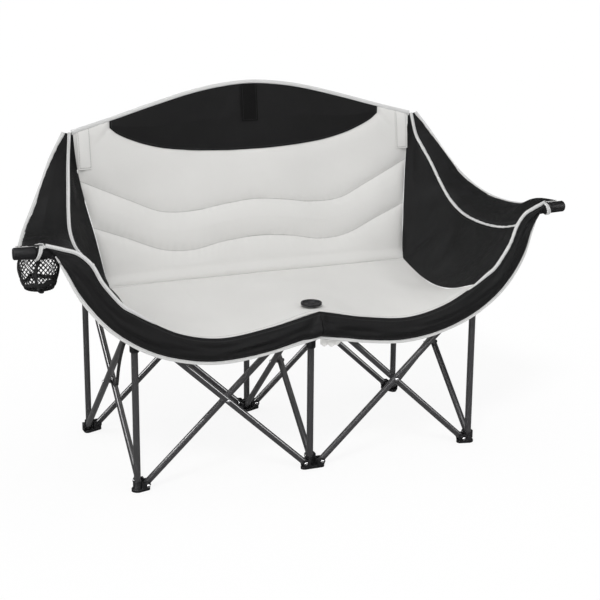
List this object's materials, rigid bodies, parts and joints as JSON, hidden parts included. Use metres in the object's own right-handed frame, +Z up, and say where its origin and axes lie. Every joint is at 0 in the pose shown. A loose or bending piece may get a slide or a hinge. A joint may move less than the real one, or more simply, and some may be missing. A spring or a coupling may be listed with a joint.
{
  "type": "folding camping loveseat",
  "caption": "Two-person folding seat: scissor tube frame on six feet, quilted cloth seat and back, winged arms, net cup holder.",
  "frame": {"origin": "on the floor, under the middle of the whole loveseat", "axes": "+X along the width towards the right-hand arm as seen from the front, +Y to the back, +Z up"},
  "size_m": [1.4438, 0.5321, 0.9071],
  "materials": {
    "graphite_tube": "satin powder coat",
    "black_plastic": "moulded, matte",
    "grey_cloth": "padded polyester, matte",
    "black_cloth": "woven polyester, matte",
    "net": "open mesh"
  },
  "bodies": {
    "front_centre_leg": {"foot_front_centre": "black_plastic", "leg_outer_front_centre": "graphite_tube", "collar_front_centre": "black_plastic"},
    "side_centre_first": {"tube_side_centre_first": "graphite_tube"},
    "side_centre_second": {"tube_side_centre_second": "graphite_tube"},
    "rear_centre_post": {"foot_rear_centre": "black_plastic", "post_rear_centre": "graphite_tube", "back_panel": "grey_cloth"},
    "rear_centre_hub": {"hub_rear_centre": "black_plastic"},
    "front_centre_hub": {"hub_front_centre": "black_plastic", "leg_inner_front_centre": "graphite_tube", "seat_centre": "grey_cloth", "seat_disc": "black_plastic"},
    "arm_left": {"arm_tube_left": "graphite_tube", "arm_cap_left": "black_plastic", "band_left": "black_cloth", "cup_rim": "black_plastic", "cup_net": "net", "hanging_strap": "black_cloth"},
    "front_left_second": {"tube_front_left_second": "graphite_tube"},
    "front_left_leg": {"foot_front_left": "black_plastic", "leg_outer_front_left": "graphite_tube", "collar_front_left": "black_plastic"},
    "front_left_hub": {"hub_front_left": "black_plastic", "leg_inner_front_left": "graphite_tube"},
    "rear_left_first": {"tube_rear_left_first": "graphite_tube"},
    "rear_left_second": {"tube_rear_left_second": "graphite_tube"},
    "rear_left_post": {"foot_rear_left": "black_plastic", "post_rear_left": "graphite_tube", "wing_left": "black_cloth"},
    "rear_left_hub": {"hub_rear_left": "black_plastic"},
    "side_left_first": {"tube_side_left_first": "graphite_tube"},
    "side_left_second": {"tube_side_left_second": "graphite_tube"},
    "seat_left_inner": {"seat_inner_left": "grey_cloth"},
    "seat_left_outer": {"seat_outer_left": "grey_cloth"},
    "arm_right": {"arm_tube_right": "graphite_tube", "arm_cap_right": "black_plastic", "band_right": "black_cloth"},
    "front_right_second": {"tube_front_right_second": "graphite_tube"},
    "front_right_leg": {"foot_front_right": "black_plastic", "leg_outer_front_right": "graphite_tube", "collar_front_right": "black_plastic"},
    "front_right_hub": {"hub_front_right": "black_plastic", "leg_inner_front_right": "graphite_tube"},
    "rear_right_first": {"tube_rear_right_first": "graphite_tube"},
    "rear_right_second": {"tube_rear_right_second": "graphite_tube"},
    "rear_right_post": {"foot_rear_right": "black_plastic", "post_rear_right": "graphite_tube", "wing_right": "black_cloth"},
    "rear_right_hub": {"hub_rear_right": "black_plastic"},
    "side_right_first": {"tube_side_right_first": "graphite_tube"},
    "side_right_second": {"tube_side_right_second": "graphite_tube"},
    "seat_right_inner": {"seat_inner_right": "grey_cloth"},
    "seat_right_outer": {"seat_outer_right": "grey_cloth"}
  },
  "joints": [
    {"name": "fold", "type": "hinge", "parent": "front_centre_leg", "child": "side_centre_first", "pos_m": [0, -0.184, 0.017], "axis": [1, 0, 0], "range_deg": [0, 38.5], "deforming": ["back_panel", "wing_left", "wing_right", "band_left", "band_right", "seat_centre", "seat_inner_left", "seat_inner_right", "seat_outer_left", "seat_outer_right"]},
    {"name": "side_centre_crossing", "type": "hinge", "parent": "side_centre_first", "child": "side_centre_second", "pos_m": [0, 0.019, 0.207], "axis": [1, 0, 0], "range_deg": [-77, 0]},
    {"name": "rear_centre_foot_pivot", "type": "hinge", "parent": "side_centre_second", "child": "rear_centre_post", "pos_m": [0, 0.222, 0.017], "axis": [1, 0, 0], "range_deg": [0, 38.5]},
    {"name": "rear_centre_hub_pivot", "type": "hinge", "parent": "side_centre_first", "child": "rear_centre_hub", "pos_m": [0, 0.222, 0.397], "axis": [1, 0, 0], "range_deg": [-38.5, 0]},
    {"name": "front_centre_hub_pivot", "type": "hinge", "parent": "side_centre_second", "child": "front_centre_hub", "pos_m": [0, -0.184, 0.397], "axis": [1, 0, 0], "range_deg": [0, 38.5]},
    {"name": "arm_left_foot_pivot", "type": "hinge", "parent": "front_centre_leg", "child": "arm_left", "pos_m": [-0.022, -0.224, 0.017], "axis": [0, 1, 0], "range_deg": [0, 38.5]},
    {"name": "front_left_crossing", "type": "hinge", "parent": "arm_left", "child": "front_left_second", "pos_m": [-0.225, -0.215, 0.207], "axis": [0, 1, 0], "range_deg": [-77, 0]},
    {"name": "front_left_foot_pivot", "type": "hinge", "parent": "front_left_second", "child": "front_left_leg", "pos_m": [-0.428, -0.206, 0.017], "axis": [0, 1, 0], "range_deg": [0, 38.5]},
    {"name": "front_left_hub_pivot", "type": "hinge", "parent": "arm_left", "child": "front_left_hub", "pos_m": [-0.428, -0.224, 0.397], "axis": [0, 1, 0], "range_deg": [-38.5, 0]},
    {"name": "rear_left_start_pivot", "type": "hinge", "parent": "rear_centre_post", "child": "rear_left_first", "pos_m": [-0.022, 0.244, 0.017], "axis": [0, 1, 0], "range_deg": [0, 38.5]},
    {"name": "rear_left_crossing", "type": "hinge", "parent": "rear_left_first", "child": "rear_left_second", "pos_m": [-0.225, 0.244, 0.207], "axis": [0, 1, 0], "range_deg": [-77, 0]},
    {"name": "rear_left_foot_pivot", "type": "hinge", "parent": "rear_left_second", "child": "rear_left_post", "pos_m": [-0.428, 0.244, 0.017], "axis": [0, 1, 0], "range_deg": [0, 38.5]},
    {"name": "rear_left_hub_pivot", "type": "hinge", "parent": "rear_left_first", "child": "rear_left_hub", "pos_m": [-0.428, 0.244, 0.397], "axis": [0, 1, 0], "range_deg": [-38.5, 0]},
    {"name": "side_left_start_pivot", "type": "hinge", "parent": "front_left_leg", "child": "side_left_first", "pos_m": [-0.45, -0.184, 0.017], "axis": [1, 0, 0], "range_deg": [0, 38.5]},
    {"name": "side_left_crossing", "type": "hinge", "parent": "side_left_first", "child": "side_left_second", "pos_m": [-0.45, 0.019, 0.207], "axis": [1, 0, 0], "range_deg": [-77, 0]},
    {"name": "seat_left_inner_fold", "type": "hinge", "parent": "front_centre_hub", "child": "seat_left_inner", "pos_m": [-0.0302, -0.066, 0.416], "axis": [0, 1, 0], "range_deg": [0, 77]},
    {"name": "seat_left_outer_fold", "type": "hinge", "parent": "seat_left_inner", "child": "seat_left_outer", "pos_m": [-0.238, -0.066, 0.376], "axis": [0, 1, 0], "range_deg": [-154, 0]},
    {"name": "arm_right_foot_pivot", "type": "hinge", "parent": "front_centre_leg", "child": "arm_right", "pos_m": [0.022, -0.224, 0.017], "axis": [0, -1, 0], "range_deg": [0, 38.5]},
    {"name": "front_right_crossing", "type": "hinge", "parent": "arm_right", "child": "front_right_second", "pos_m": [0.225, -0.215, 0.207], "axis": [0, -1, 0], "range_deg": [-77, 0]},
    {"name": "front_right_foot_pivot", "type": "hinge", "parent": "front_right_second", "child": "front_right_leg", "pos_m": [0.428, -0.206, 0.017], "axis": [0, -1, 0], "range_deg": [0, 38.5]},
    {"name": "front_right_hub_pivot", "type": "hinge", "parent": "arm_right", "child": "front_right_hub", "pos_m": [0.428, -0.224, 0.397], "axis": [0, -1, 0], "range_deg": [-38.5, 0]},
    {"name": "rear_right_start_pivot", "type": "hinge", "parent": "rear_centre_post", "child": "rear_right_first", "pos_m": [0.022, 0.244, 0.017], "axis": [0, -1, 0], "range_deg": [0, 38.5]},
    {"name": "rear_right_crossing", "type": "hinge", "parent": "rear_right_first", "child": "rear_right_second", "pos_m": [0.225, 0.244, 0.207], "axis": [0, -1, 0], "range_deg": [-77, 0]},
    {"name": "rear_right_foot_pivot", "type": "hinge", "parent": "rear_right_second", "child": "rear_right_post", "pos_m": [0.428, 0.244, 0.017], "axis": [0, -1, 0], "range_deg": [0, 38.5]},
    {"name": "rear_right_hub_pivot", "type": "hinge", "parent": "rear_right_first", "child": "rear_right_hub", "pos_m": [0.428, 0.244, 0.397], "axis": [0, -1, 0], "range_deg": [-38.5, 0]},
    {"name": "side_right_start_pivot", "type": "hinge", "parent": "front_right_leg", "child": "side_right_first", "pos_m": [0.45, -0.184, 0.017], "axis": [1, 0, 0], "range_deg": [0, 38.5]},
    {"name": "side_right_crossing", "type": "hinge", "parent": "side_right_first", "child": "side_right_second", "pos_m": [0.45, 0.019, 0.207], "axis": [1, 0, 0], "range_deg": [-77, 0]},
    {"name": "seat_right_inner_fold", "type": "hinge", "parent": "front_centre_hub", "child": "seat_right_inner", "pos_m": [0.0302, -0.066, 0.416], "axis": [0, -1, 0], "range_deg": [0, 77]},
    {"name": "seat_right_outer_fold", "type": "hinge", "parent": "seat_right_inner", "child": "seat_right_outer", "pos_m": [0.238, -0.066, 0.376], "axis": [0, -1, 0], "range_deg": [-154, 0]}
  ],
  "couplings": [
    {"joint": "side_centre_crossing", "follows": "fold", "ratio": -2},
    {"joint": "rear_centre_foot_pivot", "follows": "fold", "ratio": 1},
    {"joint": "rear_centre_hub_pivot", "follows": "fold", "ratio": -1},
    {"joint": "front_centre_hub_pivot", "follows": "fold", "ratio": 1},
    {"joint": "arm_left_foot_pivot", "follows": "fold", "ratio": 1},
    {"joint": "front_left_crossing", "follows": "fold", "ratio": -2},
    {"joint": "front_left_foot_pivot", "follows": "fold", "ratio": 1},
    {"joint": "front_left_hub_pivot", "follows": "fold", "ratio": -1},
    {"joint": "rear_left_start_pivot", "follows": "fold", "ratio": 1},
    {"joint": "rear_left_crossing", "follows": "fold", "ratio": -2},
    {"joint": "rear_left_foot_pivot", "follows": "fold", "ratio": 1},
    {"joint": "rear_left_hub_pivot", "follows": "fold", "ratio": -1},
    {"joint": "side_left_start_pivot", "follows": "fold", "ratio": 1},
    {"joint": "side_left_crossing", "follows": "fold", "ratio": -2},
    {"joint": "seat_left_inner_fold", "follows": "fold", "ratio": 2},
    {"joint": "seat_left_outer_fold", "follows": "fold", "ratio": -4},
    {"joint": "arm_right_foot_pivot", "follows": "fold", "ratio": 1},
    {"joint": "front_right_crossing", "follows": "fold", "ratio": -2},
    {"joint": "front_right_foot_pivot", "follows": "fold", "ratio": 1},
    {"joint": "front_right_hub_pivot", "follows": "fold", "ratio": -1},
    {"joint": "rear_right_start_pivot", "follows": "fold", "ratio": 1},
    {"joint": "rear_right_crossing", "follows": "fold", "ratio": -2},
    {"joint": "rear_right_foot_pivot", "follows": "fold", "ratio": 1},
    {"joint": "rear_right_hub_pivot", "follows": "fold", "ratio": -1},
    {"joint": "side_right_start_pivot", "follows": "fold", "ratio": 1},
    {"joint": "side_right_crossing", "follows": "fold", "ratio": -2},
    {"joint": "seat_right_inner_fold", "follows": "fold", "ratio": 2},
    {"joint": "seat_right_outer_fold", "follows": "fold", "ratio": -4}
  ]
}
